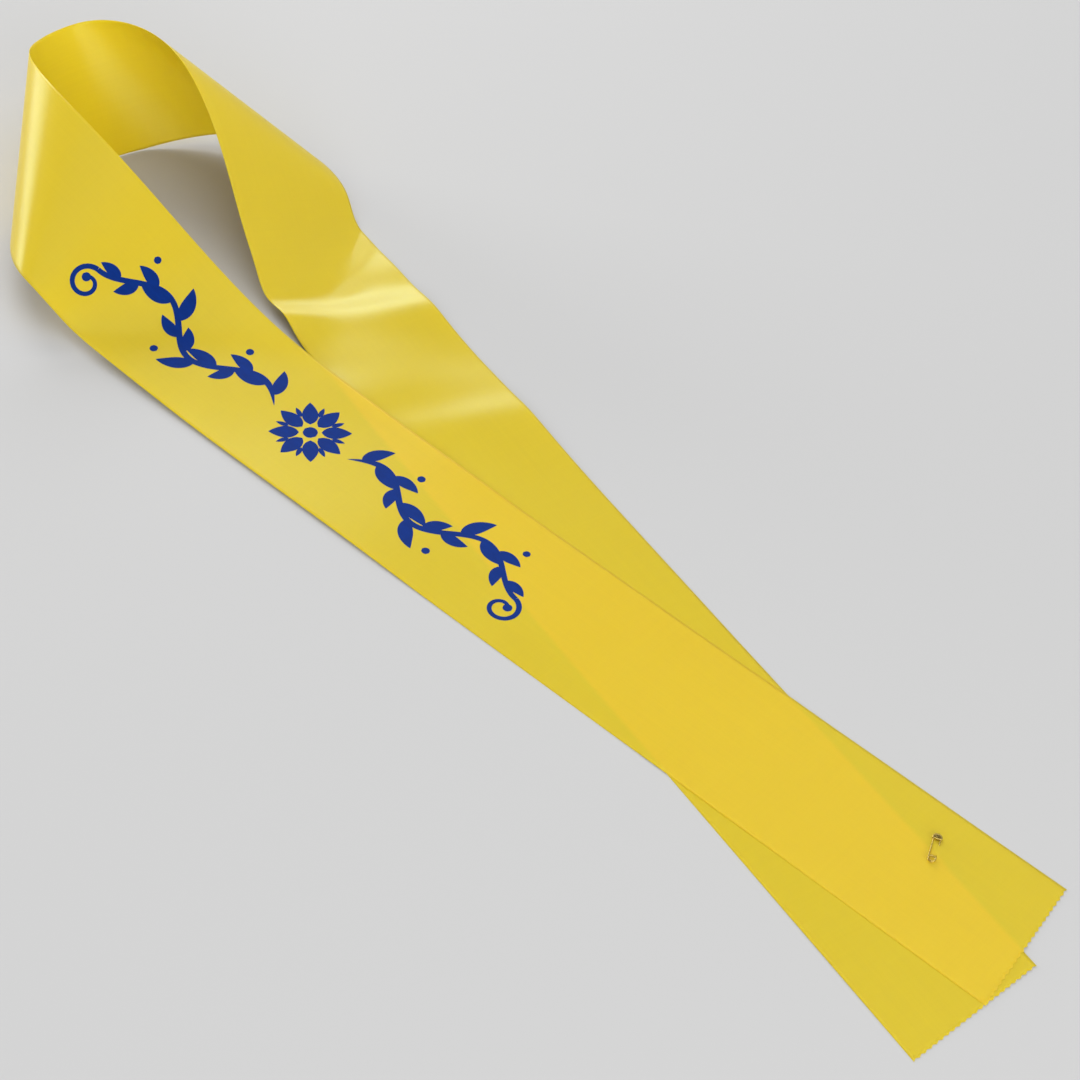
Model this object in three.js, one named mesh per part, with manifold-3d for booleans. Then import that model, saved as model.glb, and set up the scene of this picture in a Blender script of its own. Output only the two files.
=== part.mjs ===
// A worn satin sash: one long ribbon with pinked ends, laid on a table with its two tails
// crossed and pinned and its middle standing as an open neck loop.
// Millimetres, +Z up, +Y from the tail ends towards the neck loop.
import * as THREE from 'three';
import Module from 'manifold-3d';

const wasm = await Module();
wasm.setup();
const { Manifold, Mesh: ManifoldMesh } = wasm;

const RIBBON = { width: 95, length: 1830, wall: 1 };
const HALF_WIDTH = RIBBON.width / 2;
const HALF_WALL = RIBBON.wall / 2;

// Heights of the middle of the cloth over the table, in the lower and the upper tail.
const LEVEL = { lower: HALF_WALL, upper: 1.8 };

// Compass heading of the upper tail, in degrees from +X, seen from above.
const UPPER_HEADING = 98;

// How the ribbon bends on its way round, a row each 50 mm of ribbon. 'bend' is in degrees for
// 100 mm of ribbon: plus lifts it off the table, minus turns it round the neck. 'slant' is the
// lean of the crease lines from square across the ribbon. 'solved' rows are trimmed by a
// degree or two so that the second tail comes down flat on the table.
const BEND_ROWS = [
  { at: 560, bend: 14, slant: -45, solved: false },
  { at: 610, bend: -19, slant: -51, solved: false },
  { at: 660, bend: 85, slant: -39, solved: true },
  { at: 710, bend: 6, slant: -2, solved: false },
  { at: 760, bend: -112, slant: 34, solved: false },
  { at: 810, bend: -64, slant: 56, solved: false },
  { at: 860, bend: -53, slant: 21, solved: false },
  { at: 910, bend: -65, slant: 8, solved: false },
  { at: 960, bend: -115, slant: -39, solved: false },
  { at: 1010, bend: -39, slant: -40, solved: false },
  { at: 1060, bend: -82, slant: -50, solved: false },
  { at: 1110, bend: -19, slant: -13, solved: true },
  { at: 1160, bend: 109, slant: 32, solved: true },
  { at: 1210, bend: -9, slant: 53, solved: false },
  { at: 1260, bend: -22, slant: 12, solved: false },
  { at: 1310, bend: 13, slant: 2, solved: false },
];
const ROW_SPACING = 50;
const FIRST_BEND = BEND_ROWS[0].at - 2 * ROW_SPACING;
const LAST_BEND = BEND_ROWS[BEND_ROWS.length - 1].at + 2 * ROW_SPACING;
const STATION_STEP = 5;

// Where the upper tail's edge crosses the lower one, it rides a little higher.
const RIDE = { from: 440, to: 620, rise: 1 };

// Zigzag cut of both ends, and how much the cut leaves each corner short of the full length.
const PINKING = { teeth: 22, depth: 1.5 };
const END_CUTS = {
  upper: { shortLeft: 0, shortRight: 11 },
  lower: { shortLeft: 13, shortRight: 0 },
};

// Brass safety pin through the upper tail at the edge of the lower one. 'along' and 'across'
// place it on the upper tail, 'turn' is the angle from that tail's heading.
const PIN = {
  along: 77.5,
  across: 17,
  turn: 67,
  wire: 0.35,
  clear: 3.05,
  under: 0.55,
  armOffset: 2,
  coil: { at: -8.1, radius: 2, lift: 0.66 },
  cap: {
    from: 6.2,
    to: 10.2,
    halfWidth: 2.9,
    bottom: 2.62,
    height: 1.5,
    shoulder: 1,
    round: 2.9,
    narrow: 0.85,
  },
  armInCap: 1,
};

// Along the pin: where its sharp arm goes down through the cloth and comes up again.
const PIN_DIP = { downFrom: -5.6, downTo: -3.6, upFrom: 2.6, upTo: 4.8 };

// The openings that the sharp arm has in the two tails.
const PIN_SLOT = { halfWidth: 0.75, past: 0.3, lowerFrom: -5.2, lowerTo: 6, overcut: 0.1 };
const WIRE_SIDES = 8;
const COIL_SEGMENTS = 20;
const WELD = 1e-4;

// How the solved rows are found.
const SOLVE = { rounds: 8, step: 0.01 };

const MATERIALS = {
  satin: { color: 0xdcbc3c, roughness: 0.42, metalness: 0 },
  brass: { color: 0xb8903f, roughness: 0.3, metalness: 1 },
};

const radians = (degrees) => (degrees * Math.PI) / 180;

// Cubic blend of the table rows: a row counts at its own place and fades out over two rows.
function blend(distance) {
  const u = Math.abs(distance);
  if (u < 1) return (4 - 6 * u * u + 3 * u * u * u) / 6;
  if (u < 2) return (2 - u) ** 3 / 6;
  return 0;
}

function blended(values, at, held) {
  let sum = 0;
  for (let row = -held; row < values.length + held; row += 1) {
    const nearest = Math.min(Math.max(row, 0), values.length - 1);
    sum += values[nearest] * blend((at - BEND_ROWS[0].at) / ROW_SPACING - row);
  }
  return sum;
}

// Walks along the ribbon and gives, for each station, the middle point, the way along, the
// normal and the crease line, by turning the ribbon about its crease lines.
function walk(bends) {
  const slants = BEND_ROWS.map((row) => row.slant);
  const heading = radians(UPPER_HEADING);
  let along = new THREE.Vector3(Math.cos(heading), Math.sin(heading), 0);
  let across = new THREE.Vector3(Math.sin(heading), -Math.cos(heading), 0);
  let point = new THREE.Vector3(0, 0, LEVEL.upper);
  const count = Math.round(RIBBON.length / STATION_STEP);
  const stations = [];
  let before = null;
  for (let i = 0; i <= count; i += 1) {
    const at = i * STATION_STEP;
    const bend = radians(blended(bends, at, 0)) / 100;
    const lean = Math.tan(radians(blended(slants, at, 3)));
    if (before) {
      const meanBend = (bend + before.bend) / 2;
      const meanLean = (lean + before.lean) / 2;
      const crease = along.clone().multiplyScalar(meanLean).add(across);
      const stretch = crease.length();
      crease.divideScalar(stretch);
      const nextAlong = along.clone().applyAxisAngle(crease, meanBend * stretch * STATION_STEP);
      across = across.clone().applyAxisAngle(crease, meanBend * stretch * STATION_STEP);
      point = point.clone();
      point.addScaledVector(along, STATION_STEP / 2).addScaledVector(nextAlong, STATION_STEP / 2);
      along = nextAlong;
    }
    const normal = new THREE.Vector3().crossVectors(across, along);
    const crease = across.clone().addScaledVector(along, lean);
    before = { bend, lean };
    stations.push({ at, point, along, across, normal, crease });
  }
  return stations;
}

// Trims the solved rows until the far end is level, flat and at the lower tail's height.
function settledWalk() {
  const bends = BEND_ROWS.map((row) => row.bend);
  const solved = BEND_ROWS.map((row, index) => (row.solved ? index : -1)).filter((i) => i >= 0);
  const miss = () => {
    const stations = walk(bends);
    const end = stations[stations.length - 1];
    return [end.along.z, end.across.z, end.point.z - LEVEL.lower];
  };
  for (let round = 0; round < SOLVE.rounds; round += 1) {
    const now = miss();
    const columns = solved.map((index) => {
      bends[index] += SOLVE.step;
      const moved = miss();
      bends[index] -= SOLVE.step;
      return moved.map((value, k) => (value - now[k]) / SOLVE.step);
    });
    const slope = new THREE.Matrix3();
    slope.set(
      columns[0][0], columns[1][0], columns[2][0],
      columns[0][1], columns[1][1], columns[2][1],
      columns[0][2], columns[1][2], columns[2][2],
    );
    const change = new THREE.Vector3(...now).applyMatrix3(slope.invert());
    solved.forEach((index, k) => {
      bends[index] -= change.getComponent(k);
    });
  }
  return walk(bends);
}

// The two edge points of a station, kept on or over the table.
function edgePoints(station) {
  const left = station.point.clone().addScaledVector(station.crease, -HALF_WIDTH);
  const right = station.point.clone().addScaledVector(station.crease, HALF_WIDTH);
  const phase = (station.at - RIDE.from) / (RIDE.to - RIDE.from);
  if (phase > 0 && phase < 1) right.z += RIDE.rise * Math.sin(Math.PI * phase) ** 2;
  left.z = Math.max(left.z, HALF_WALL);
  right.z = Math.max(right.z, HALF_WALL);
  return { left, right };
}

// Collects corners in pairs, one on the upper face and one on the lower face of the cloth.
class Wall {
  constructor() {
    this.corners = [];
    this.triangles = [];
  }

  pair(point, normal) {
    this.corners.push(point.clone().addScaledVector(normal, HALF_WALL));
    this.corners.push(point.clone().addScaledVector(normal, -HALF_WALL));
    return this.corners.length / 2 - 1;
  }

  face(a, b, c) {
    this.triangles.push([2 * a, 2 * b, 2 * c], [2 * c + 1, 2 * b + 1, 2 * a + 1]);
  }

  rim(a, b) {
    this.triangles.push([2 * a, 2 * a + 1, 2 * b + 1], [2 * a, 2 * b + 1, 2 * b]);
  }
}

// A flat tail from its pinked end to the first or last crease line. 'out' is the way towards
// the end, and the corners of the crease line are already in the wall.
function flatTail(wall, station, endAt, cut, leftPair, rightPair) {
  const sign = Math.sign(endAt - station.at);
  const outline = [];
  const ring = [];
  const steps = PINKING.teeth * 2;
  for (let step = 0; step <= steps; step += 1) {
    const across = -HALF_WIDTH + (RIBBON.width * step) / steps;
    const notch = step % 2 === 0 ? 0 : PINKING.depth;
    const short = cut.shortLeft + ((cut.shortRight - cut.shortLeft) * step) / steps;
    const run = endAt - sign * (notch + short) - station.at;
    const point = station.point.clone();
    point.addScaledVector(station.along, run).addScaledVector(station.across, across);
    ring.push(wall.pair(point, station.normal));
    outline.push(new THREE.Vector2(across, run));
  }
  const lean = station.crease.dot(station.along);
  ring.push(rightPair, leftPair);
  outline.push(new THREE.Vector2(HALF_WIDTH, lean * HALF_WIDTH));
  outline.push(new THREE.Vector2(-HALF_WIDTH, -lean * HALF_WIDTH));
  const clockwise = THREE.ShapeUtils.isClockWise(outline);
  if (clockwise) {
    outline.reverse();
    ring.reverse();
  }
  for (const [a, b, c] of THREE.ShapeUtils.triangulateShape(outline, [])) {
    wall.face(ring[a], ring[b], ring[c]);
  }
  ring.forEach((corner, k) => {
    const next = ring[(k + 1) % ring.length];
    const alongCrease = [corner, next].every((c) => c === rightPair || c === leftPair);
    if (!alongCrease) wall.rim(corner, next);
  });
}

function ribbonWall(stations) {
  const wall = new Wall();
  const bent = stations.filter((s) => s.at >= FIRST_BEND && s.at <= LAST_BEND);
  const pairs = bent.map((station) => {
    const { left, right } = edgePoints(station);
    return [wall.pair(left, station.normal), wall.pair(right, station.normal)];
  });
  for (let i = 0; i + 1 < pairs.length; i += 1) {
    const [left, right] = pairs[i];
    const [nextLeft, nextRight] = pairs[i + 1];
    wall.face(left, right, nextRight);
    wall.face(left, nextRight, nextLeft);
    wall.rim(nextLeft, left);
    wall.rim(right, nextRight);
  }
  flatTail(wall, bent[0], 0, END_CUTS.upper, ...pairs[0]);
  flatTail(wall, bent[bent.length - 1], RIBBON.length, END_CUTS.lower, ...pairs[pairs.length - 1]);
  return wall;
}

function toManifold(corners, triangles) {
  const properties = new Float32Array(corners.length * 3);
  corners.forEach((corner, i) => corner.toArray(properties, 3 * i));
  const mesh = new ManifoldMesh({
    numProp: 3,
    vertProperties: properties,
    triVerts: new Uint32Array(triangles.flat()),
  });
  mesh.merge();
  return Manifold.ofMesh(mesh);
}

function geometryToManifold(geometry) {
  const positions = geometry.getAttribute('position');
  const seen = new Map();
  const corners = [];
  const use = [];
  for (let i = 0; i < positions.count; i += 1) {
    const corner = new THREE.Vector3().fromBufferAttribute(positions, i);
    const key = corner.toArray().map((value) => Math.round(value / WELD)).join(',');
    if (!seen.has(key)) {
      seen.set(key, corners.length);
      corners.push(corner);
    }
    use.push(seen.get(key));
  }
  const order = geometry.index ? Array.from(geometry.index.array) : use.map((_, i) => i);
  const triangles = [];
  for (let i = 0; i < order.length; i += 3) {
    const triangle = [use[order[i]], use[order[i + 1]], use[order[i + 2]]];
    if (new Set(triangle).size === 3) triangles.push(triangle);
  }
  return toManifold(corners, triangles);
}

function toMesh(name, solid, finish) {
  const out = solid.getMesh();
  const geometry = new THREE.BufferGeometry();
  const values = new Float32Array(out.numVert * 3);
  for (let i = 0; i < out.numVert; i += 1) {
    for (let axis = 0; axis < 3; axis += 1) {
      values[3 * i + axis] = out.vertProperties[out.numProp * i + axis];
    }
  }
  geometry.setAttribute('position', new THREE.BufferAttribute(values, 3));
  geometry.setIndex(Array.from(out.triVerts));
  const mesh = new THREE.Mesh(geometry, new THREE.MeshStandardMaterial(finish));
  mesh.name = name;
  return mesh;
}

// A closed round bar along a line of points.
function bar(points, radius) {
  const sides = WIRE_SIDES;
  const corners = [];
  const triangles = [];
  const tangents = points.map((point, i) => {
    const ahead = points[Math.min(i + 1, points.length - 1)];
    const behind = points[Math.max(i - 1, 0)];
    return ahead.clone().sub(behind).normalize();
  });
  const side = new THREE.Vector3(0, 0, 1).cross(tangents[0]).normalize();
  points.forEach((point, i) => {
    side.addScaledVector(tangents[i], -side.dot(tangents[i])).normalize();
    const up = tangents[i].clone().cross(side);
    for (let k = 0; k < sides; k += 1) {
      const angle = (2 * Math.PI * k) / sides;
      corners.push(
        point.clone()
          .addScaledVector(side, radius * Math.cos(angle))
          .addScaledVector(up, radius * Math.sin(angle)),
      );
    }
  });
  for (let i = 0; i + 1 < points.length; i += 1) {
    for (let k = 0; k < sides; k += 1) {
      const a = i * sides + k;
      const b = i * sides + ((k + 1) % sides);
      triangles.push([a, b, b + sides], [a, b + sides, a + sides]);
    }
  }
  const last = (points.length - 1) * sides;
  for (let k = 1; k + 1 < sides; k += 1) {
    triangles.push([0, k + 1, k], [last, last + k, last + k + 1]);
  }
  return toManifold(corners, triangles);
}

// The pin's own frame: x along the pin from coil to cap, z up from the table.
function pinFrame() {
  const heading = radians(UPPER_HEADING);
  const along = new THREE.Vector3(Math.cos(heading), Math.sin(heading), 0);
  const across = new THREE.Vector3(Math.sin(heading), -Math.cos(heading), 0);
  const origin = along.clone().multiplyScalar(PIN.along).addScaledVector(across, PIN.across);
  const turn = radians(PIN.turn);
  const x = along.clone().multiplyScalar(Math.cos(turn)).addScaledVector(across, Math.sin(turn));
  const z = new THREE.Vector3(0, 0, 1);
  const y = new THREE.Vector3().crossVectors(z, x);
  return new THREE.Matrix4().makeBasis(x, y, z).setPosition(origin);
}

function coilRing(height) {
  const torus = new THREE.TorusGeometry(PIN.coil.radius, PIN.wire, WIRE_SIDES, COIL_SEGMENTS);
  torus.translate(PIN.coil.at, 0, height);
  return geometryToManifold(torus);
}

function capPlate() {
  const { from, to, halfWidth, bottom, height, shoulder, round, narrow } = PIN.cap;
  const outline = new THREE.Shape();
  outline.moveTo(from, -halfWidth * narrow);
  outline.lineTo(from + shoulder, -halfWidth);
  outline.lineTo(to - round, -halfWidth);
  outline.absarc(to - round, 0, halfWidth, -Math.PI / 2, Math.PI / 2, false);
  outline.lineTo(from + shoulder, halfWidth);
  outline.lineTo(from, halfWidth * narrow);
  const plate = new THREE.ExtrudeGeometry(outline, {
    depth: height,
    bevelEnabled: false,
    curveSegments: WIRE_SIDES,
  });
  plate.translate(0, 0, bottom);
  return geometryToManifold(plate);
}

function safetyPin() {
  const armEnd = PIN.cap.from + PIN.armInCap;
  const fixedArm = [
    new THREE.Vector3(PIN.coil.at, PIN.armOffset, PIN.clear),
    new THREE.Vector3(armEnd, PIN.armOffset, PIN.clear),
  ];
  const side = -PIN.armOffset;
  const sharpArm = [
    new THREE.Vector3(PIN.coil.at, side, PIN.clear),
    new THREE.Vector3(PIN_DIP.downFrom, side, PIN.clear),
    new THREE.Vector3(PIN_DIP.downTo, side, PIN.under),
    new THREE.Vector3(PIN_DIP.upFrom, side, PIN.under),
    new THREE.Vector3(PIN_DIP.upTo, side, PIN.clear),
    new THREE.Vector3(armEnd, side, PIN.clear),
  ];
  return Manifold.union([
    bar(fixedArm, PIN.wire),
    bar(sharpArm, PIN.wire),
    coilRing(PIN.clear),
    coilRing(PIN.clear + PIN.coil.lift),
    capPlate(),
  ]);
}

function slotCutter(from, to, bottom, top) {
  const box = new THREE.BoxGeometry(to - from, 2 * PIN_SLOT.halfWidth, top - bottom);
  box.translate((from + to) / 2, -PIN.armOffset, (bottom + top) / 2);
  box.applyMatrix4(pinFrame());
  return geometryToManifold(box);
}

// The cloth with the slots for the pin's sharp arm.
function slottedBand() {
  const wall = ribbonWall(settledWalk());
  const upperBottom = LEVEL.upper - HALF_WALL - PIN_SLOT.overcut;
  const upperTop = LEVEL.upper + RIBBON.wall;
  const lowerTop = LEVEL.lower + HALF_WALL + PIN_SLOT.overcut;
  const { past, lowerFrom, lowerTo } = PIN_SLOT;
  return toManifold(wall.corners, wall.triangles)
    .subtract(slotCutter(PIN_DIP.downFrom - past, PIN_DIP.downTo + past, upperBottom, upperTop))
    .subtract(slotCutter(PIN_DIP.upFrom - past, PIN_DIP.upTo + past, upperBottom, upperTop))
    .subtract(slotCutter(lowerFrom, lowerTo, -RIBBON.wall, lowerTop));
}

const band = slottedBand();
const box = band.boundingBox();
const middle = [-(box.min[0] + box.max[0]) / 2, -(box.min[1] + box.max[1]) / 2, 0];
const pinMatrix = pinFrame().premultiply(new THREE.Matrix4().makeTranslation(...middle));

const sash = new THREE.Group();
sash.name = 'sash';
sash.add(toMesh('sash_band', band.translate(middle), MATERIALS.satin));
sash.add(toMesh('safety_pin', safetyPin().transform(pinMatrix.elements), MATERIALS.brass));

export default sash;
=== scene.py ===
# Dresses the satin sash: one long ribbon laid as a neck loop with crossed, pinned tails.
import bpy
import math
import numpy as np
from mathutils import Matrix, Vector


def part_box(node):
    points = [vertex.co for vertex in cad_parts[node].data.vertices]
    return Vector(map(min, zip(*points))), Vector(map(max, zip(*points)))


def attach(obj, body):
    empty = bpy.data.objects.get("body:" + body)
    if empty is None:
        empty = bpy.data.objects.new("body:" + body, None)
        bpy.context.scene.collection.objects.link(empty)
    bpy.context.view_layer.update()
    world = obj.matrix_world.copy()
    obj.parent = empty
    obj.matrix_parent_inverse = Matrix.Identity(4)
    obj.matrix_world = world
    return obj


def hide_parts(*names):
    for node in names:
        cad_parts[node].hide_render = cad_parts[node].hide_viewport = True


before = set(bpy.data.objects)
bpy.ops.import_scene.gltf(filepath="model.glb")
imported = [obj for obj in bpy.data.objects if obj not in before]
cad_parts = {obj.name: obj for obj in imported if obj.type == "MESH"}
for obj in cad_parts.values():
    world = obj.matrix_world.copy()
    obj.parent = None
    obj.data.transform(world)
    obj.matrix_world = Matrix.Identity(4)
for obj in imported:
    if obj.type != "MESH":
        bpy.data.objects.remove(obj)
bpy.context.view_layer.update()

MM = 0.001

# The ribbon, in millimetres, as in the part's source.
WIDTH = 95.0
HALF_WIDTH = WIDTH / 2
LENGTH = 1830.0
CAD_LOWER_LEVEL = 0.5
CAD_UPPER_LEVEL = 1.8
CAD_HALF_WALL = 0.5
UPPER_HEADING = math.radians(98)
FIRST_ROW = 560.0
ROW_SPACING = 50.0
STEP = 2.5
HELD_ROWS = 3
BEND_UNIT = 100.0
TRIM_ROUNDS = 8
TRIM_NUDGE = 0.01
TRIM_TILT_WEIGHT = 100
TRIM_HEIGHT_UNIT = 5
# bend in degrees for 100 mm, slant of the crease line in degrees, and whether the row is
# trimmed so that the second tail comes down flat
BEND_ROWS = [
    (14, -45, False),
    (-19, -51, False),
    (85, -39, True),
    (6, -2, False),
    (-112, 34, False),
    (-64, 56, False),
    (-53, 21, False),
    (-65, 8, False),
    (-115, -39, False),
    (-39, -40, False),
    (-82, -50, False),
    (-19, -13, True),
    (109, 32, True),
    (-9, 53, False),
    (-22, 12, False),
    (13, 2, False),
]
RIDE_FROM = 440.0
RIDE_TO = 620.0
RIDE_RISE = 1.0

# The real cloth is thinner than the wall of the solid, so the tails lie lower and closer.
CLOTH = 0.2
ON_TABLE = 0.14
ON_CLOTH = 0.25
DRAPE_RUN = 9.0
# This blur softens the edge of the painted light on the overlap of the tails.
OVERLAP_LIGHT_BLUR = 2.0
SWELL = 0.28
SWELL_ON_CLOTH = 0.3
UPPER_SETTLES = (470.0, 360.0)
LOWER_SETTLES = (1440.0, 1540.0)
# Over this span the painted light on the overlap fades out where the tails part near the crossing.
OVERLAP_LIGHT_PART = (520.0, 600.0)

# Pinked ends, and how much their slanted cuts leave the left and right corner short.
PINK_TEETH = 22
PINK_DEPTH = 1.0
UPPER_END_SHORT = (0.0, 11.0)
LOWER_END_SHORT = (13.0, 0.0)
END_RUN = 60.0

# The safety pin, placed on the upper tail. Its own x runs from the coil to the cap.
PIN_ALONG = 77.5
PIN_ACROSS = 17.0
PIN_TURN = math.radians(67)
PIN_ARM_OFFSET = 2.0
PIN_ARMS_AT = 2.2
PIN_UNDER_AT = 0.95
PIN_WIRE = 0.35
PIN_COIL_AT = -8.1
PIN_COIL_TURNS = 1.5
PIN_COIL_PITCH = 0.74
PIN_DIP = (-5.6, -3.6, 2.6, 4.8)
PIN_CAP_FROM = 6.2
PIN_CAP_TO = 10.2
PIN_CAP_HALF_WIDTH = 2.9
PIN_CAP_BOTTOM = 1.72
PIN_CAP_NECK = 0.72
PIN_CAP_SHOULDER = 0.92
PIN_CAP_NECK_RUN = 0.25
PIN_CAP_SHOULDER_RUN = 0.7
PIN_CAP_HEAD_POINTS = 21
PIN_CAP_NECK_POINTS = 5
PIN_IN_CAP = 1.6
PIN_WIRE_SIDES = 14
PIN_ARM_ROWS = 24
PIN_COIL_ROWS = 44
PIN_EASE_STEPS = 6
PIN_MOUND = 0.9
PIN_MOUND_RADIUS = 15.0

# The ridge that the pin's sharp arm raises in the upper tail, in the pin's own x and y.
RIDGE_HEIGHT = 0.5
RIDGE_MIDDLE = -0.5
RIDGE_HALF_LENGTH = 3.0
RIDGE_END = 1.6
RIDGE_HALF_WIDTH = 2.2

# The printed garland, in the cloth's own flat length and width.
PRINT_MIDDLE = 532.0
PRINT_SIDE = 1.0
INK_LEVEL = CLOTH / 2 + 0.02
INK_STEP = 0.004
INK_ROW = 1.6
INK_COLUMNS = 5
STEM_FROM = 31.0
STEM_TO = 178.0
STEM_WAVE = 84.0
STEM_SWING = 11.0
# leaves of one half: place along the stem, side, length, half width
LEAVES = [
    (38, 1, 22, 4.3),
    (47, -1, 25, 4.8),
    (60, 1, 20, 4.1),
    (69, -1, 18, 3.9),
    (78, 1, 24, 4.6),
    (90, -1, 24, 4.6),
    (101, 1, 19, 4.1),
    (111, -1, 19, 3.9),
    (120, 1, 24, 4.6),
    (132, -1, 23, 4.4),
    (144, 1, 18, 3.9),
    (154, -1, 17, 3.7),
    (163, 1, 16, 3.5),
]
CURL_RADII = (11.0, 3.6)
CURL_TURN = math.radians(400)
LEAF_SPREAD = math.radians(48)
LEAF_CURL = math.radians(34)
# berries of one half: along, across, radius
BERRIES = [(73, 20.5, 2.6), (115, -21.0, 2.6), (157, 21.0, 2.4)]
# petals of the middle rosette: how many, first angle, inner end, length, half width
PETALS = [(8, 0.0, 6.8, 18.5, 5.0), (8, 22.5, 14.0, 8.5, 1.6)]
ROSETTE_HEART = 4.6
CURL_HEART = 2.9
STEM_HALF_WIDTH = 2.3
STEM_THINS = 0.6
STEM_TIP = 16.0
STEM_TIP_LEAST = 0.03
STEM_TIP_POWER = 0.8
LEAF_FULLEST = 0.8
LEAF_BLUNTNESS = 0.85
CURL_HALF_WIDTH = 1.7
CURL_THINS = 0.5
CURL_POINTS = 34
DISC_POINTS = 9
DISC_REACH = 0.995
LEAST_HALF_WIDTH = 0.06


def blend(distance):
    """Cubic B-spline weight of a row that lies 'distance' rows away."""
    u = np.abs(distance)
    near = (4 - 6 * u**2 + 3 * u**3) / 6
    far = (2 - u) ** 3 / 6
    return np.where(u < 1, near, np.where(u < 2, far, 0.0))


def blended(values, at, held):
    """The rows' values blended at the places 'at', with the end rows held 'held' times."""
    rows = np.arange(-held, len(values) + held)
    nearest = np.clip(rows, 0, len(values) - 1)
    weights = blend((at[:, None] - FIRST_ROW) / ROW_SPACING - rows[None, :])
    return weights @ np.asarray(values, float)[nearest]


def smooth(value, low, high):
    """Rises smoothly from 0 at 'low' to 1 at 'high'."""
    t = np.clip((value - low) / (high - low), 0.0, 1.0)
    return t * t * (3 - 2 * t)


def turned(vector, axis, angle):
    """A vector turned about a unit axis."""
    cos, sin = math.cos(angle), math.sin(angle)
    return vector * cos + np.cross(axis, vector) * sin + axis * np.dot(axis, vector) * (1 - cos)


class Ribbon:
    """Middle line, crease lines and normals of the laid ribbon, found by walking along it."""

    def __init__(self):
        self.at = np.arange(0, LENGTH + STEP / 2, STEP)
        self.lean = np.tan(np.radians(blended([row[1] for row in BEND_ROWS], self.at, HELD_ROWS)))
        bends = np.array([row[0] for row in BEND_ROWS], float)
        solved = [i for i, row in enumerate(BEND_ROWS) if row[2]]
        for _ in range(TRIM_ROUNDS):
            now = self.miss(bends)
            slope = np.zeros((3, 3))
            for column, row in enumerate(solved):
                tried = bends.copy()
                tried[row] += TRIM_NUDGE
                slope[:, column] = (self.miss(tried) - now) / TRIM_NUDGE
            bends[solved] -= np.linalg.solve(slope, now)
        self.walk(bends)

    def miss(self, bends):
        """How far the end of the walk is from lying flat on the table."""
        self.walk(bends)
        tilts = np.array([self.along[-1, 2], self.across[-1, 2]]) * TRIM_TILT_WEIGHT
        height = self.point[-1, 2] - CAD_LOWER_LEVEL
        return np.append(tilts, height / TRIM_HEIGHT_UNIT)

    def walk(self, bends):
        """Turns the ribbon about its crease line, one step after the other."""
        bend = np.radians(blended(bends, self.at, 0)) / BEND_UNIT
        count = len(self.at)
        self.point = np.zeros((count, 3))
        self.along = np.zeros((count, 3))
        self.across = np.zeros((count, 3))
        self.point[0] = (0, 0, CAD_UPPER_LEVEL)
        self.along[0] = (math.cos(UPPER_HEADING), math.sin(UPPER_HEADING), 0)
        self.across[0] = (math.sin(UPPER_HEADING), -math.cos(UPPER_HEADING), 0)
        for i in range(1, count):
            mean_bend = (bend[i] + bend[i - 1]) / 2
            mean_lean = (self.lean[i] + self.lean[i - 1]) / 2
            crease = self.along[i - 1] * mean_lean + self.across[i - 1]
            stretch = np.linalg.norm(crease)
            crease = crease / stretch
            angle = mean_bend * stretch * STEP
            self.along[i] = turned(self.along[i - 1], crease, angle)
            self.across[i] = turned(self.across[i - 1], crease, angle)
            self.point[i] = self.point[i - 1] + (self.along[i] + self.along[i - 1]) * STEP / 2
        self.normal = np.cross(self.across, self.along)
        self.crease = self.across + self.lean[:, None] * self.along

    def stations(self, at):
        """Values between stations, at the places in the array 'at' along the middle line."""
        def pick(values):
            return np.stack([np.interp(at, self.at, values[:, k]) for k in range(3)], -1)

        return pick(self.point), pick(self.crease), pick(self.normal)

    def place(self, station, across, above):
        """Points of the cloth, 'across' from the middle line along the crease line."""
        point, crease, normal = self.stations(station)
        lean = np.interp(station, self.at, self.lean)
        cloth_along = station + lean * across
        result = point + crease * across[:, None]
        phase = np.clip((station - RIDE_FROM) / (RIDE_TO - RIDE_FROM), 0, 1)
        share = (across + HALF_WIDTH) / WIDTH
        result[:, 2] += RIDE_RISE * np.sin(math.pi * phase) ** 2 * share
        result[:, 2] = np.maximum(result[:, 2], CAD_LOWER_LEVEL)
        result += normal * soft_creases(cloth_along, across)[:, None]
        result[:, 2] = np.maximum(result[:, 2], ON_TABLE)
        result[:, 2] += self.settle(result, cloth_along, across)
        result += normal * above[:, None]
        return result, cloth_along

    def on_lower(self, points):
        """Where points seen from above lie on the flat lower tail: along and across it."""
        offset = points - self.point[-1]
        return LENGTH + offset @ self.along[-1], offset @ self.across[-1]

    def lower_height(self, along, across):
        """Height of the middle of the lower tail's cloth, where that tail is flat."""
        laid = ON_TABLE + SWELL * swell(along, across)
        return CAD_LOWER_LEVEL + (laid - CAD_LOWER_LEVEL) * smooth(along, *LOWER_SETTLES)

    def settle(self, points, cloth_along, across):
        """Lowers the flat tails from the solid's levels to the thin cloth's own levels."""
        under_along, under_across = self.on_lower(points)
        cover = smooth(HALF_WIDTH - np.abs(under_across), -DRAPE_RUN, 0.0)
        cover *= smooth(LENGTH - under_along, -DRAPE_RUN, 0.0)
        below = self.lower_height(under_along, np.clip(under_across, -HALF_WIDTH, HALF_WIDTH))
        wave = SWELL * swell(cloth_along, across)
        alone = ON_TABLE + wave
        laid = alone + (below + ON_CLOTH + SWELL_ON_CLOTH * wave - alone) * cover + pin_tuck(points)
        upper = (laid - CAD_UPPER_LEVEL) * smooth(-cloth_along, -UPPER_SETTLES[0], -UPPER_SETTLES[1])
        lower = self.lower_height(cloth_along, across) - CAD_LOWER_LEVEL
        return upper + lower * (cloth_along > LENGTH / 2)

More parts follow.
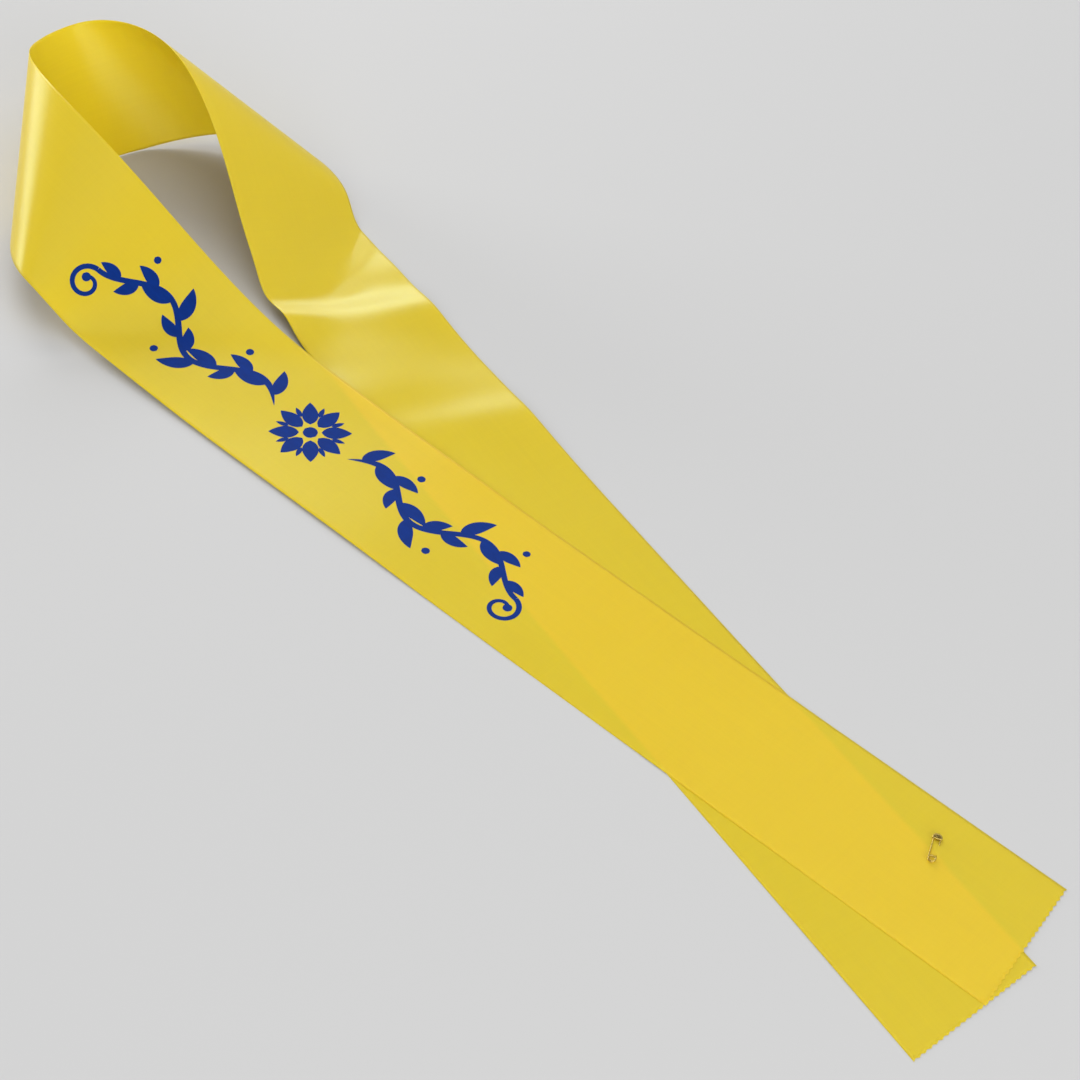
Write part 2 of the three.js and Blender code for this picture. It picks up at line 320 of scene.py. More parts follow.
    def from_cloth(self, cloth_along, across, above):
        """Points of the cloth given in its own flat length and width."""
        station = np.empty_like(cloth_along)
        for i, (a, v) in enumerate(zip(cloth_along, across)):
            station[i] = np.interp(a, self.at + self.lean * v, self.at)
        return self.place(station, across, above)[0]


# The unevenness of the flat cloth: run of each wave along and across, in mm for one radian, and
# its share of the whole. The long wave also wanders along the cloth.
LONG_WAVE = (23.0, 83.0, 0.3)
CROSS_WAVE = (37.0, 21.0, 0.2)
WANDER = 1.1
WANDER_RUN = 61.0
CROSS_START = 0.7


def swell(along, across):
    """Gentle unevenness of a ribbon that has been rolled up, from 0 to 1."""
    run, side_run, share = LONG_WAVE
    cross_run, cross_side_run, cross_share = CROSS_WAVE
    long_wave = np.sin(along / run + across / side_run + WANDER * np.sin(along / WANDER_RUN))
    cross_wave = np.sin(along / cross_run - across / cross_side_run + CROSS_START)
    return 0.5 + share * long_wave + cross_share * cross_wave


# Soft creases of the cloth near the loop: place of the middle, direction from square across,
# half length, half width and height over the cloth, in mm and degrees.
SOFT_CREASES = [
    # along, across, turn, half_length, half_width, height
    (1188, 4, -17, 34, 16, 0.5),
    (700, 12, 35, 30, 12, 0.3),
    (655, -20, 30, 32, 14, -0.3),
]

# Low waves of the cloth, each a trough and then a crest: where the middle line is crossed, how
# far the wave leans along for 1 mm across, slope and reach along, and where it is strongest
# across and how far it spreads from there, in mm.
WAVES = [
    # along, skew, slope, reach, side, spread
    (1202, -0.30, 0.15, 14, -10, 200),
    (1196, -0.15, 0.30, 13, 46, 19),
    (1242, 0.0, -0.08, 20, 38, 20),
    (1296, -0.20, 0.11, 38, -40, 34),
    (1318, -0.25, 0.07, 13, -10, 60),
]


def soft_creases(along, across):
    """Height of the waves and the soft creases, along the cloth's normal."""
    total = np.zeros_like(along)
    for middle, skew, slope, reach, side, spread in WAVES:
        past = along - middle - skew * across
        window = np.exp(-0.5 * (past / reach) ** 2 - 0.5 * ((across - side) / spread) ** 2)
        total += slope * past * window
    for middle, side, turn, half_length, half_width, height in SOFT_CREASES:
        angle = math.radians(turn)
        a = along - middle
        v = across - side
        on_line = v * math.cos(angle) + a * math.sin(angle)
        off_line = a * math.cos(angle) - v * math.sin(angle)
        total += height * np.exp(-(on_line / half_length) ** 2 - (off_line / half_width) ** 2)
    return total


def pin_axes():
    """Middle of the pin and its own x and y directions, in the walk's frame."""
    along = np.array([math.cos(UPPER_HEADING), math.sin(UPPER_HEADING), 0])
    across = np.array([math.sin(UPPER_HEADING), -math.cos(UPPER_HEADING), 0])
    middle = along * PIN_ALONG + across * PIN_ACROSS
    x_axis = along * math.cos(PIN_TURN) + across * math.sin(PIN_TURN)
    return middle, x_axis, np.cross((0, 0, 1), x_axis)


def pin_tuck(points):
    """The upper tail rises in a low mound under the pin, with a ridge over its sharp arm."""
    middle, x_axis, y_axis = pin_axes()
    offset = (points - middle) * (1, 1, 0)
    x = offset @ x_axis
    y = offset @ y_axis
    mound = PIN_MOUND * np.exp(-(x**2 + y**2) / PIN_MOUND_RADIUS**2)
    past = np.maximum(np.abs(x - RIDGE_MIDDLE) - RIDGE_HALF_LENGTH, 0)
    off_arm = y + PIN_ARM_OFFSET
    ridge = RIDGE_HEIGHT * np.exp(-(past / RIDGE_END) ** 2 - (off_arm / RIDGE_HALF_WIDTH) ** 2)
    return mound + ridge


ribbon = Ribbon()


def edge_box():
    """The solid's own box in the walk's frame, which sets where the row's origin lies."""
    bent = ribbon.at >= FIRST_ROW - 2 * ROW_SPACING
    bent &= ribbon.at <= FIRST_ROW + (len(BEND_ROWS) + 1) * ROW_SPACING
    corners = []
    for side in (-1, 1):
        edge = ribbon.point + ribbon.crease * side * HALF_WIDTH
        for face in (-1, 1):
            corners.append((edge + ribbon.normal * face * CAD_HALF_WALL)[bent])
        for end, way, short in ((0, 1, UPPER_END_SHORT), (-1, -1, LOWER_END_SHORT)):
            corner = ribbon.point[end] + ribbon.across[end] * side * HALF_WIDTH
            corner = corner + ribbon.along[end] * way * short[(side + 1) // 2]
            corners.append(corner[None, :])
    return np.vstack(corners)


solid_low, solid_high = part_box("sash_band")
walk_box = edge_box()
ROW_SHIFT = np.array([
    (solid_low[0] + solid_high[0]) / 2 / MM - (walk_box[:, 0].min() + walk_box[:, 0].max()) / 2,
    (solid_low[1] + solid_high[1]) / 2 / MM - (walk_box[:, 1].min() + walk_box[:, 1].max()) / 2,
    0.0,
])


def to_row(points):
    """From the walk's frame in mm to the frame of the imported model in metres."""
    return (points + ROW_SHIFT) * MM


def new_object(name, vertices, faces):
    """A smooth-shaded mesh object in the scene."""
    mesh = bpy.data.meshes.new(name)
    mesh.from_pydata([tuple(v) for v in vertices], [], faces)
    mesh.validate()
    mesh.polygons.foreach_set("use_smooth", [True] * len(mesh.polygons))
    thing = bpy.data.objects.new(name, mesh)
    bpy.context.scene.collection.objects.link(thing)
    return thing


def lay_flat_coordinates(thing, across, cloth_along):
    """Stores the cloth's own flat width and length, in metres, as texture coordinates."""
    uv = thing.data.uv_layers.new(name="cloth")
    loops = np.empty(len(thing.data.loops), dtype=np.int32)
    thing.data.loops.foreach_get("vertex_index", loops)
    flat = np.stack([across[loops] * MM, cloth_along[loops] * MM], -1)
    uv.data.foreach_set("uv", flat.ravel())


# The cloth

def cloth_piece():
    """The whole ribbon as one thin sheet with pinked ends."""
    columns = 2 * PINK_TEETH
    across_line = np.linspace(-HALF_WIDTH, HALF_WIDTH, columns + 1)
    rows = len(ribbon.at)
    across = np.tile(across_line, rows)
    notch = np.where(np.arange(columns + 1) % 2 == 1, PINK_DEPTH, 0.0)
    upper_cut = notch + np.linspace(*UPPER_END_SHORT, columns + 1)
    lower_cut = notch + np.linspace(*LOWER_END_SHORT, columns + 1)
    row_at = ribbon.at[:, None]
    near_upper = np.clip(1 - row_at / END_RUN, 0, 1)
    near_lower = np.clip(1 - (LENGTH - row_at) / END_RUN, 0, 1)
    station = (row_at + near_upper * upper_cut - near_lower * lower_cut).ravel()
    points, cloth_along = ribbon.place(station, across, np.zeros_like(across))
    faces = []
    for row in range(rows - 1):
        for column in range(columns):
            a = row * (columns + 1) + column
            faces.append((a, a + 1, a + columns + 2, a + columns + 1))
    cloth = new_object("satin_ribbon", to_row(points), faces)
    lay_flat_coordinates(cloth, across, cloth_along)
    # The overlap of the upper tail on the lower one is stored as a mask of painted light: the satin
    # is painted a deeper orange there, in place of the light that passes through the thin cloth.
    under_along, under_across = ribbon.on_lower(points)
    overlap_painted_light = smooth(HALF_WIDTH - np.abs(under_across), -OVERLAP_LIGHT_BLUR, OVERLAP_LIGHT_BLUR)
    overlap_painted_light *= smooth(LENGTH - under_along, -OVERLAP_LIGHT_BLUR, OVERLAP_LIGHT_BLUR)
    overlap_painted_light *= 1 - smooth(cloth_along, *OVERLAP_LIGHT_PART)
    overlap_painted_light *= cloth_along < LENGTH / 2
    tint = cloth.data.attributes.new("overlap_painted_light", "FLOAT", "POINT")
    tint.data.foreach_set("value", overlap_painted_light.astype(np.float32))
    solid = cloth.modifiers.new("cloth thickness", "SOLIDIFY")
    solid.thickness = CLOTH * MM
    solid.offset = 0
    solid.use_rim = True
    return cloth


satin_ribbon = cloth_piece()


# The printed garland

class Ink:
    """Brush strokes in the cloth's flat coordinates (along, across), gathered as one mesh."""

    def __init__(self):
        self.flat = []
        self.above = []
        self.faces = []
        self.count = 0

    def stroke(self, centre, half_width, level):
        """One tapering stroke along the points 'centre', and its mirror in the other half."""
        for mirrored in (1, -1):
            self.lay(centre * (mirrored, 1), half_width, level)

    def lay(self, centre, half_width, level):
        """One stroke as a grid of faces, 'level' steps above the first ink."""
        tangent = np.gradient(centre, axis=0)
        tangent /= np.linalg.norm(tangent, axis=1)[:, None]
        side = np.stack([-tangent[:, 1], tangent[:, 0]], -1)
        spread = np.linspace(-1, 1, INK_COLUMNS)
        grid = centre[:, None] + side[:, None] * (half_width[:, None] * spread)[:, :, None]
        rows = len(centre)
        for row in range(rows - 1):
            for column in range(INK_COLUMNS - 1):
                corner = self.count + row * INK_COLUMNS + column
                ring = (corner, corner + 1, corner + INK_COLUMNS + 1, corner + INK_COLUMNS)
                self.faces.append(ring)
        self.flat.append(grid.reshape(-1, 2))
        self.above.append(np.full(rows * INK_COLUMNS, INK_LEVEL + INK_STEP * level))
        self.count += rows * INK_COLUMNS


def stem_point(along):
    """The wavy stem of one half of the garland."""
    phase = 2 * math.pi * (along - STEM_FROM) / STEM_WAVE
    return np.stack([along, STEM_SWING * np.sin(phase)], -1)


def leaf_shape(root, angle, length, half_width, curl):
    """Middle line and half widths of a leaf that starts at 'root' and bends by 'curl'."""
    rows = max(6, int(length / INK_ROW) + 1)
    t = np.linspace(0, 1, rows)
    heading = angle + curl * t
    step = length / (rows - 1)
    path = np.cumsum(np.stack([np.cos(heading), np.sin(heading)], -1) * step, axis=0)
    bow = np.sin(math.pi * t**LEAF_FULLEST) ** LEAF_BLUNTNESS
    widths = half_width * bow + LEAST_HALF_WIDTH
    return np.asarray(root) + path - path[0], widths


def disc_shape(centre, radius):
    """Middle line and half widths of a round dot, just short of its two ends."""
    offset = np.linspace(-radius, radius, DISC_POINTS) * DISC_REACH
    line = np.stack([centre[0] + offset, np.full_like(offset, centre[1])], -1)
    return line, np.sqrt(radius**2 - offset**2)


def end_curl(start, heading):
    """The spiral at the end of a stem: it goes on from 'start' and turns inwards."""
    t = np.linspace(0, 1, CURL_POINTS)
    turn = heading + math.radians(90) - t * CURL_TURN
    radius = CURL_RADII[0] * (1 - t) + CURL_RADII[1] * t
    spoke = np.stack([np.cos(turn), np.sin(turn)], -1)
    centre = np.asarray(start) - CURL_RADII[0] * spoke[0]
    return centre + radius[:, None] * spoke, CURL_HALF_WIDTH - CURL_THINS * t


def garland_piece():
    """Rosette, stems, leaves, berries and curls, laid on the cloth's upper face."""
    ink = Ink()
    for level, (count, first, inner, length, half_width) in enumerate(PETALS):
        for k in range(count):
            angle = math.radians(first + 360 * k / count)
            root = (inner * math.cos(angle), inner * math.sin(angle))
            ink.lay(*leaf_shape(root, angle, length, half_width, 0.0), level)
    ink.lay(*disc_shape((0, 0), ROSETTE_HEART), 0)
    along = np.arange(STEM_FROM, STEM_TO, INK_ROW)
    fade = (along - STEM_FROM) / (STEM_TO - STEM_FROM)
    tip = np.minimum(1, ((along - STEM_FROM) / STEM_TIP) ** STEM_TIP_POWER + STEM_TIP_LEAST)
    ink.stroke(stem_point(along), (STEM_HALF_WIDTH - STEM_THINS * fade) * tip, 0)
    for index, (place, side, length, half_width) in enumerate(LEAVES):
        root, ahead = stem_point(np.array([place, place + 1.0]))
        angle = math.atan2(ahead[1] - root[1], ahead[0] - root[0]) + side * LEAF_SPREAD
        leaf = leaf_shape(root, angle, length, half_width, -side * LEAF_CURL)
        ink.stroke(*leaf, 1 + index % 3)
    for along_at, across_at, radius in BERRIES:
        ink.stroke(*disc_shape((along_at, across_at), radius), 0)
    before, start = stem_point(along[-2:])
    heading = math.atan2(start[1] - before[1], start[0] - before[0])
    path, widths = end_curl(start, heading)
    ink.stroke(path, widths, 4)
    ink.stroke(*disc_shape(path[-1], CURL_HEART), 5)

    flat = np.vstack(ink.flat)
    cloth_along = PRINT_MIDDLE + flat[:, 0]
    across = PRINT_SIDE + flat[:, 1]
    points = ribbon.from_cloth(cloth_along, across, np.concatenate(ink.above))
    faces = []
    for face in ink.faces:
        a, b, c, d = (flat[k] for k in face)
        area = (c[0] - a[0]) * (d[1] - b[1]) - (c[1] - a[1]) * (d[0] - b[0])
        faces.append(face if area < 0 else face[::-1])
    garland = new_object("printed_garland", to_row(points), faces)
    lay_flat_coordinates(garland, across, cloth_along)
    return garland


printed_garland = garland_piece()


# The safety pin

def swept(path, radius, sides):
    """Vertices and faces of a round wire along a path, closed at both ends."""
    tangent = np.gradient(path, axis=0)
    tangent /= np.linalg.norm(tangent, axis=1)[:, None]
    side = np.cross((0.0, 0.0, 1.0), tangent[0])
    vertices = []
    for point, direction in zip(path, tangent):
        side = side - direction * np.dot(side, direction)
        side /= np.linalg.norm(side)
        up = np.cross(direction, side)
        for k in range(sides):
            angle = 2 * math.pi * k / sides
            vertices.append(point + radius * (side * math.cos(angle) + up * math.sin(angle)))
    faces = []
    for row in range(len(path) - 1):
        for k in range(sides):
            a = row * sides + k
            b = row * sides + (k + 1) % sides
            faces.append((a, b, b + sides, a + sides))
    last = (len(path) - 1) * sides
    faces.append(tuple(range(sides))[::-1])
    faces.append(tuple(range(last, last + sides)))
    return vertices, faces


def eased(path_rows):
    """A smooth curve through rows of (x, y, z), by Catmull-Rom."""
    rows = np.array(path_rows, float)
    rows = np.vstack([2 * rows[0] - rows[1], rows, 2 * rows[-1] - rows[-2]])
    points = []
    for i in range(1, len(rows) - 2):
        for t in np.linspace(0, 1, PIN_EASE_STEPS + 1)[:-1]:
            a, b, c, d = rows[i - 1], rows[i], rows[i + 1], rows[i + 2]
            cubic = (3 * b - a - 3 * c + d) * t**3 + (2 * a - 5 * b + 4 * c - d) * t**2
            points.append(0.5 * (cubic + (c - a) * t + 2 * b))
    points.append(rows[-2])
    return np.array(points)


def pin_wire():
    """The wire: fixed arm, coil and sharp arm, which dips through the cloth."""
    y = PIN_ARM_OFFSET
    z = PIN_ARMS_AT
    in_cap = PIN_CAP_FROM + PIN_IN_CAP
    fixed = np.linspace((in_cap, y, z), (PIN_COIL_AT, y, z), PIN_ARM_ROWS)[:-1]
    start = math.radians(90)
    angles = np.linspace(start, math.radians(90 + 360 * PIN_COIL_TURNS), PIN_COIL_ROWS)
    rise = PIN_COIL_PITCH * (angles - angles[0]) / (2 * math.pi)
    coil = np.stack([PIN_COIL_AT + y * np.cos(angles), y * np.sin(angles), z + rise], -1)
    top = z + rise[-1]
    down_from, down_to, up_from, up_to = PIN_DIP
    middle = (down_to + up_from) / 2
    sharp = eased([
        (PIN_COIL_AT + 0.5, -y, top - 0.15),
        (PIN_COIL_AT + 1.5, -y, z + 0.35),
        (down_from, -y, z - 0.2),
        (down_to, -y, PIN_UNDER_AT + 0.1),
        (middle, -y, PIN_UNDER_AT),
        (up_from, -y, PIN_UNDER_AT + 0.1),
        (up_to, -y, z - 0.2),
        (in_cap, -y, z),
    ])
    return swept(np.vstack([fixed, coil, sharp]), PIN_WIRE, PIN_WIRE_SIDES)


def cap_outline(inset):
    """The cap seen from above, as points in order: narrow at the arms, round at the head."""
    half = PIN_CAP_HALF_WIDTH - inset
    near = PIN_CAP_FROM + inset
    round_at = PIN_CAP_TO - PIN_CAP_HALF_WIDTH
    neck = half * PIN_CAP_NECK
    shoulder = half * PIN_CAP_SHOULDER
    neck_end = near + PIN_CAP_NECK_RUN
    shoulder_end = near + PIN_CAP_SHOULDER_RUN
    points = [(near, -neck), (neck_end, -shoulder), (shoulder_end, -half)]
    for angle in np.radians(np.linspace(-90, 90, PIN_CAP_HEAD_POINTS)):
        points.append((round_at + half * math.cos(angle), half * math.sin(angle)))
    points += [(shoulder_end, half), (neck_end, shoulder), (near, neck)]
    for y in np.linspace(0.5, -0.5, PIN_CAP_NECK_POINTS):
        points.append((near, half * y))
    return points


def pin_cap():
    """The folded sheet cap: round edges, a rolled rim and a pressed dimple."""
    # inset and height over the cap's underside
    rings = [
        (0.42, 0.0),
        (0.12, 0.12),
        (0.0, 0.4),
        (0.0, 0.85),
        (0.12, 1.14),
        (0.36, 1.26),
        (0.62, 1.24),
        (0.82, 1.12),
        (1.15, 1.12),
        (1.6, 1.2),
        (2.1, 1.26),
        (2.6, 1.28),
    ]
    vertices = []
    for inset, height in rings:
        for x, y in cap_outline(inset):
            vertices.append((x, y, PIN_CAP_BOTTOM + height))
    sides = len(cap_outline(0.0))
    faces = []
    for ring in range(len(rings) - 1):
        for k in range(sides):
            a = ring * sides + k
            b = ring * sides + (k + 1) % sides
            faces.append((a, b, b + sides, a + sides))
    last = (len(rings) - 1) * sides
    faces.append(tuple(range(sides))[::-1])
    faces.append(tuple(range(last, last + sides)))
    return vertices, faces


def pin_piece():
    """Wire and cap as one piece, set on the upper tail."""
    middle, x_axis, y_axis = pin_axes()
    wire_vertices, wire_faces = pin_wire()
    cap_vertices, cap_faces = pin_cap()
    shift = len(wire_vertices)
    faces = wire_faces + [tuple(k + shift for k in face) for face in cap_faces]
    own = np.vstack([wire_vertices, cap_vertices])
    points = middle + own[:, :1] * x_axis + own[:, 1:2] * y_axis + own[:, 2:] * (0, 0, 1)
    return new_object("brass_safety_pin", to_row(points), faces)


brass_safety_pin = pin_piece()


# Colours, in linear light.
WHITE = (1, 1, 1, 1)
BRASS_BRIGHT = (0.66, 0.50, 0.15, 1)
BRASS_DARK = (0.42, 0.30, 0.06, 1)
SATIN_SINGLE = (0.758, 0.545, 0.027, 1)
# Where the tails overlap the satin takes this deeper orange: painted light, in place of the light
# that passes through the thin cloth.
SATIN_OVERLAP_PAINTED_LIGHT = (0.875, 0.560, 0.028, 1)
INK_BLUE = (0.0010, 0.027, 0.21, 1)
FLOOR_GREY = (0.592, 0.592, 0.592, 1)

# How much of the light passes through the thin satin, and how far each colour travels in it.
SATIN_SHARE_THROUGH = 0.65
SATIN_PATHS = (0.72, 0.76, 0.22)

# The weave, in mm, and the depth of its bump.
THREAD_SPACING = 0.3
BAR_SPACING = 0.45
BAR_SHARE = 0.4
WEAVE_DEPTH = 0.02
SELVEDGE_WIDTH = 1.2
SELVEDGE_BLUR = 0.4
SELVEDGE_RISE = 0.6

# Noise patterns: counts per metre across and along the cloth, and levels of detail.
WARP_STREAKS = (900, 7, 3)
WEFT_STREAKS = (12, 700, 3)
MOTTLE = (11, 7, 2)
INK_COVER = (260, 120, 3)
TARNISH = (420, 420, 4)
SCRATCHES = (4000, 900, 2)

# Satin roughness, how much it gains along the weft bars and on the selvedge, and its shine.
SATIN_ROUGH = 0.32
WEFT_ROUGH = 0.03
SELVEDGE_ROUGH = 0.05
SATIN_STRETCH = 0.92
SATIN_SHINE = 0.5
SATIN_SHINE_TINT = (0.6, 1.0, 0.62, 1)
INK_SHINE = 0.08


# Shader helpers

def new_material(name):
    """A node material, its tree and its main shader."""
    material = bpy.data.materials.new(name)
    material.use_nodes = True
    tree = material.node_tree
    shader = tree.nodes["Principled BSDF"]
    return material, tree, shader


def add_node(tree, kind, **settings):
    """A node with some of its properties set."""
    node = tree.nodes.new(kind)
    for key, value in settings.items():
        setattr(node, key, value)
    return node


def math_node(tree, operation, first, second=None, third=None, clamp=False):
    """The output of a math node whose inputs are numbers or other nodes' outputs."""
    node = add_node(tree, "ShaderNodeMath", operation=operation, use_clamp=clamp)
    for socket, value in zip(node.inputs, (first, second, third)):
        if value is None:
            continue
        if isinstance(value, (int, float)):
            socket.default_value = value
        else:
            tree.links.new(value, socket)
    return node.outputs[0]


def mix_colour(tree, factor, first, second, blend_type="MIX"):
    """The output of a colour mix, whose two colour inputs are the sockets 6 and 7."""
    node = add_node(tree, "ShaderNodeMix", data_type="RGBA", blend_type=blend_type)
    sockets = (node.inputs["Factor"], node.inputs[6], node.inputs[7])
    for socket, value in zip(sockets, (factor, first, second)):
        if isinstance(value, (int, float, tuple)):
            socket.default_value = value
        else:
            tree.links.new(value, socket)
    return node.outputs[2]


def cloth_coordinates(tree):
    """Width and length of the cloth in metres, from its own flat layout."""
    uv = add_node(tree, "ShaderNodeUVMap", uv_map="cloth")
    parts = add_node(tree, "ShaderNodeSeparateXYZ")
    tree.links.new(uv.outputs[0], parts.inputs[0])
    return uv.outputs[0], parts.outputs[0], parts.outputs[1]


def streaks(tree, vector, wide, long, detail):
    """Noise stretched along the length of the cloth: 'wide' and 'long' are counts per metre."""
    scale = add_node(tree, "ShaderNodeMapping")
    scale.inputs["Scale"].default_value = (wide, long, 1)
    tree.links.new(vector, scale.inputs["Vector"])
    noise = add_node(tree, "ShaderNodeTexNoise")
    noise.inputs["Scale"].default_value = 1.0
    noise.inputs["Detail"].default_value = detail
    tree.links.new(scale.outputs[0], noise.inputs["Vector"])
    return noise.outputs["Fac"]


def ripple(tree, distance, spacing):
    """A sine wave over a distance in metres, with its spacing in mm."""
    phase = math_node(tree, "MULTIPLY", distance, 2 * math.pi / (spacing * MM))
    return math_node(tree, "SINE", phase)


def scaled(tree, value, gain, base):
    """Base plus gain times a value."""
    return math_node(tree, "MULTIPLY_ADD", value, gain, base)


def weave_height(tree, across, along, selvedge):
    """Fine warp threads and weft bars of the satin, as a height in bump units."""
    threads = ripple(tree, across, THREAD_SPACING)
    bars = ripple(tree, along, BAR_SPACING)
    height = scaled(tree, bars, BAR_SHARE, threads)
    return scaled(tree, selvedge, SELVEDGE_RISE, height)


def edge_band(tree, across):
    """One on the woven edge of the ribbon and zero inside it."""
    edge = math_node(tree, "ABSOLUTE", across)
    edge = math_node(tree, "SUBTRACT", edge, (HALF_WIDTH - SELVEDGE_WIDTH) * MM)
    return math_node(tree, "MULTIPLY", edge, 1 / (SELVEDGE_BLUR * MM), clamp=True)


def fine_bump(tree, height, shader, strength):
    """Bends the shader's normal by a height as deep as the weave."""
    bump = add_node(tree, "ShaderNodeBump")
    bump.inputs["Strength"].default_value = strength
    bump.inputs["Distance"].default_value = WEAVE_DEPTH * MM
    tree.links.new(height, bump.inputs["Height"])
    tree.links.new(bump.outputs[0], shader.inputs["Normal"])


def satin_material():
    """Golden satin: threads along the ribbon stretch its shine across, and light comes through; the
    overlap of the tails is also painted a deeper orange as painted light.
    """
    material, tree, shader = new_material("golden satin")
    vector, across, along = cloth_coordinates(tree)
    selvedge = edge_band(tree, across)

    # Painted light: the overlap of the tails is painted a deeper orange in place of the light that
    # passes through the thin satin.
    overlap_painted_light = add_node(tree, "ShaderNodeAttribute", attribute_name="overlap_painted_light")
    colour = mix_colour(tree, overlap_painted_light.outputs["Fac"], SATIN_SINGLE, SATIN_OVERLAP_PAINTED_LIGHT)
    warp = streaks(tree, vector, *WARP_STREAKS)
    weft = streaks(tree, vector, *WEFT_STREAKS)
    mottle = streaks(tree, vector, *MOTTLE)
    shade = scaled(tree, warp, 0.05, 0.965)
    for pattern, gain, base in ((weft, 0.03, 0.985), (mottle, 0.05, 0.975), (selvedge, -0.02, 1.0)):
        shade = math_node(tree, "MULTIPLY", shade, scaled(tree, pattern, gain, base))
    colour = mix_colour(tree, 1.0, colour, shade, "MULTIPLY")
    tree.links.new(colour, shader.inputs["Base Color"])

    height = weave_height(tree, across, along, selvedge)
    fine_bump(tree, height, shader, 0.3)

    rough = scaled(tree, weft, WEFT_ROUGH, SATIN_ROUGH)
    rough = scaled(tree, selvedge, SELVEDGE_ROUGH, rough)
    tree.links.new(rough, shader.inputs["Roughness"])
    tangent = add_node(tree, "ShaderNodeTangent", direction_type="UV_MAP", uv_map="cloth")
    tree.links.new(tangent.outputs[0], shader.inputs["Tangent"])
    shader.inputs["Anisotropic"].default_value = SATIN_STRETCH
    shader.inputs["Subsurface Weight"].default_value = SATIN_SHARE_THROUGH
    shader.inputs["Subsurface Radius"].default_value = SATIN_PATHS
    shader.inputs["Subsurface Scale"].default_value = MM
    shader.inputs["Specular IOR Level"].default_value = SATIN_SHINE
    shader.inputs["Specular Tint"].default_value = SATIN_SHINE_TINT
    return material


def ink_material():
    """Matt ink that lets the weave show and covers it a little unevenly."""
    material, tree, shader = new_material("blue ink")
    vector, across, along = cloth_coordinates(tree)
    cover = streaks(tree, vector, *INK_COVER)
    shade = scaled(tree, cover, 0.5, 0.75)
    colour = mix_colour(tree, 1.0, INK_BLUE, shade, "MULTIPLY")
    tree.links.new(colour, shader.inputs["Base Color"])
    height = weave_height(tree, across, along, 0.0)
    fine_bump(tree, height, shader, 0.25)
    rough = scaled(tree, cover, 0.15, 0.5)
    tree.links.new(rough, shader.inputs["Roughness"])
    shader.inputs["Specular IOR Level"].default_value = INK_SHINE
    return material


def brass_material():
    """Brass plating, unevenly tarnished and finely scratched."""
    material, tree, shader = new_material("pin brass")
    place = add_node(tree, "ShaderNodeTexCoord").outputs["Object"]
    tarnish = streaks(tree, place, *TARNISH)
    colour = mix_colour(tree, tarnish, BRASS_BRIGHT, BRASS_DARK)
    tree.links.new(colour, shader.inputs["Base Color"])
    scratches = streaks(tree, place, *SCRATCHES)
    rough = scaled(tree, scratches, 0.25, 0.14)
    tree.links.new(rough, shader.inputs["Roughness"])
    shader.inputs["Metallic"].default_value = 1.0
    fine_bump(tree, scratches, shader, 0.2)
    return material


satin_ribbon.data.materials.append(satin_material())
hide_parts("sash_band")
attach(satin_ribbon, "root")

printed_garland.data.materials.append(ink_material())
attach(printed_garland, "root")

brass_safety_pin.data.materials.append(brass_material())
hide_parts("safety_pin")
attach(brass_safety_pin, "root")


# Floor, light and camera

FLOOR_HALF = 6.0

# Azimuth and elevation are seen from the target: azimuth 0 is -Y and 90 is +X. Metres, watts.
SOFTBOXES = [
    # name, azimuth, elevation, distance, target, size, watts
    ("overhead softbox", 0, 85, 3.2, (0, 0, 0), (2.4, 2.4), 20),
    ("front softbox", -18, 17, 3.0, (0, 0.36, 0.05), (3.4, 1.0), 48),
    ("high rear softbox", 166, 34, 3.2, (0, 0, 0), (1.2, 0.8), 31),
    ("rear softbox", 140, 25.5, 3.2, (0, 0.1, 0.02), (1.2, 1.1), 24),
    ("side rear softbox", 205, 9, 3.0, (-0.05, 0.3, 0.04), (1.5, 0.6), 38),
]
WORLD_LIGHT = 0.465


def floor_piece():
    """The pale floor, which is a stage and not part of the sash."""
    near = -FLOOR_HALF
    far = FLOOR_HALF
    corners = [(near, near, 0), (far, near, 0), (far, far, 0), (near, far, 0)]
    plate = new_object("floor", corners, [(0, 1, 2, 3)])
    material, tree, shader = new_material("pale floor")
    shader.inputs["Base Color"].default_value = FLOOR_GREY
    shader.inputs["Roughness"].default_value = 1.0
    shader.inputs["Specular IOR Level"].default_value = 0.0
    plate.data.materials.append(material)


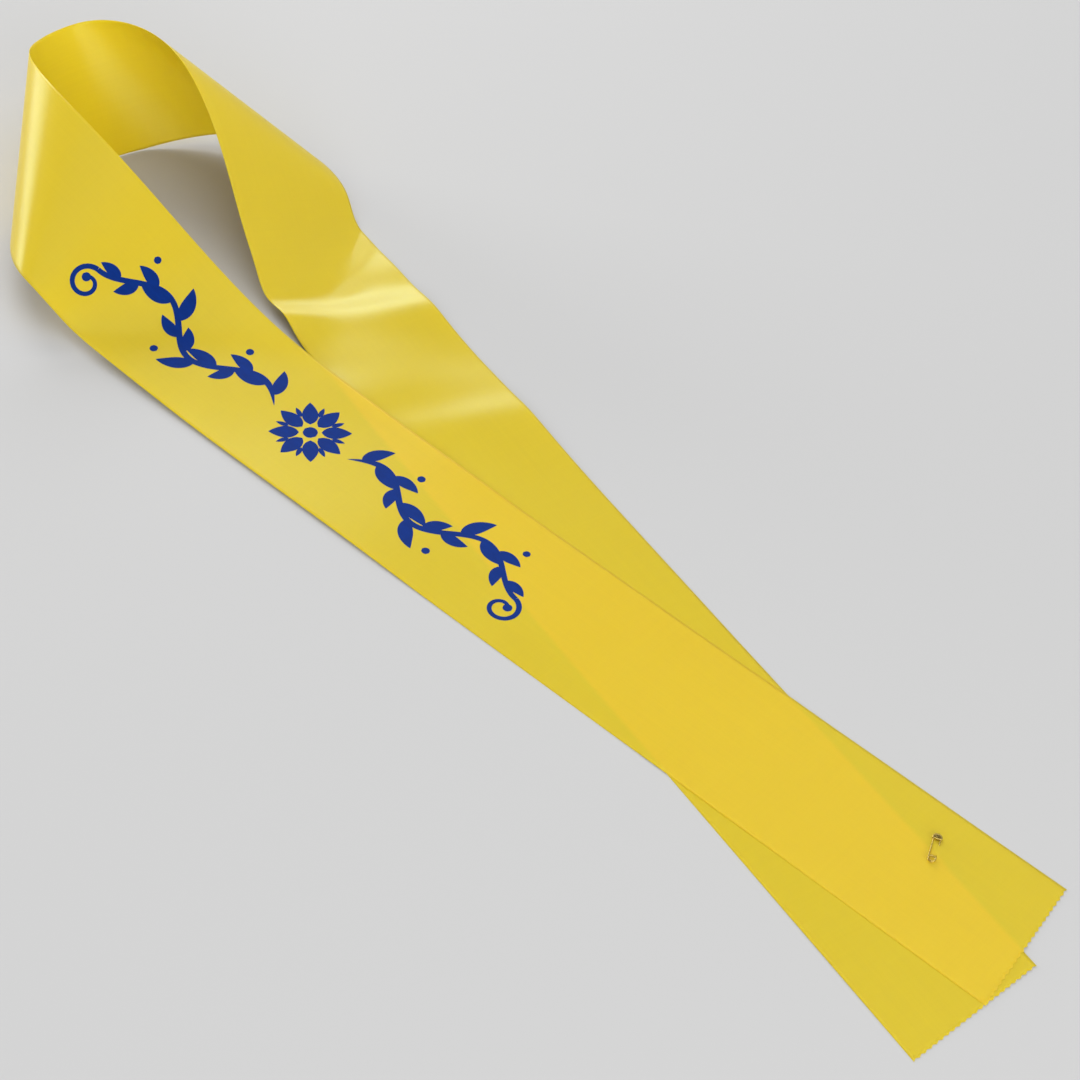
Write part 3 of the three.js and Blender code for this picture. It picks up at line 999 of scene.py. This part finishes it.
def softbox(name, azimuth, elevation, distance, target, size, watts):
    """A soft area light that faces its target."""
    level = math.cos(math.radians(elevation))
    away = Vector((
        math.sin(math.radians(azimuth)) * level,
        -math.cos(math.radians(azimuth)) * level,
        math.sin(math.radians(elevation)),
    ))
    light = bpy.data.lights.new(name, "AREA")
    light.shape = "RECTANGLE"
    light.size, light.size_y = size
    light.energy = watts
    lamp = bpy.data.objects.new(name, light)
    lamp.location = Vector(target) + away * distance
    lamp.rotation_mode = "QUATERNION"
    lamp.rotation_quaternion = (-away).to_track_quat("-Z", "Y")
    bpy.context.scene.collection.objects.link(lamp)


def studio_world():
    """An even white surround."""
    world = bpy.data.worlds.new("studio")
    world.use_nodes = True
    background = world.node_tree.nodes["Background"]
    background.inputs["Color"].default_value = WHITE
    background.inputs["Strength"].default_value = WORLD_LIGHT
    bpy.context.scene.world = world
    bpy.context.scene.view_settings.view_transform = "Standard"


floor_piece()
for row in SOFTBOXES:
    softbox(*row)
studio_world()

CAMERA_AZIMUTH = math.radians(-47.3)
CAMERA_ELEVATION = math.radians(44.5)
CAMERA_ROLL = math.radians(9.03)
CAMERA_DISTANCE = 1.5215
CAMERA_TARGET = Vector(to_row(np.array([-15.51, 379.44, 0.0])))
CAMERA_LENS = 86.0
CAMERA_SENSOR = 36


def photo_camera():
    """The camera at the photograph's viewing angle, rolled as the photograph is."""
    sin_a, cos_a = math.sin(CAMERA_AZIMUTH), math.cos(CAMERA_AZIMUTH)
    sin_e, cos_e = math.sin(CAMERA_ELEVATION), math.cos(CAMERA_ELEVATION)
    back = Vector((sin_a * cos_e, -cos_a * cos_e, sin_e))
    level_right = Vector((cos_a, sin_a, 0))
    level_up = back.cross(level_right)
    right = level_right * math.cos(CAMERA_ROLL) + level_up * math.sin(CAMERA_ROLL)
    up = back.cross(right)
    data = bpy.data.cameras.new("photo camera")
    data.sensor_width = CAMERA_SENSOR
    data.lens = CAMERA_LENS
    camera = bpy.data.objects.new("photo camera", data)
    place = CAMERA_TARGET + back * CAMERA_DISTANCE
    columns = Matrix((right, up, back)).transposed().to_4x4()
    camera.matrix_world = Matrix.Translation(place) @ columns
    bpy.context.scene.collection.objects.link(camera)
    bpy.context.scene.camera = camera


photo_camera()

bpy.context.view_layer.update()
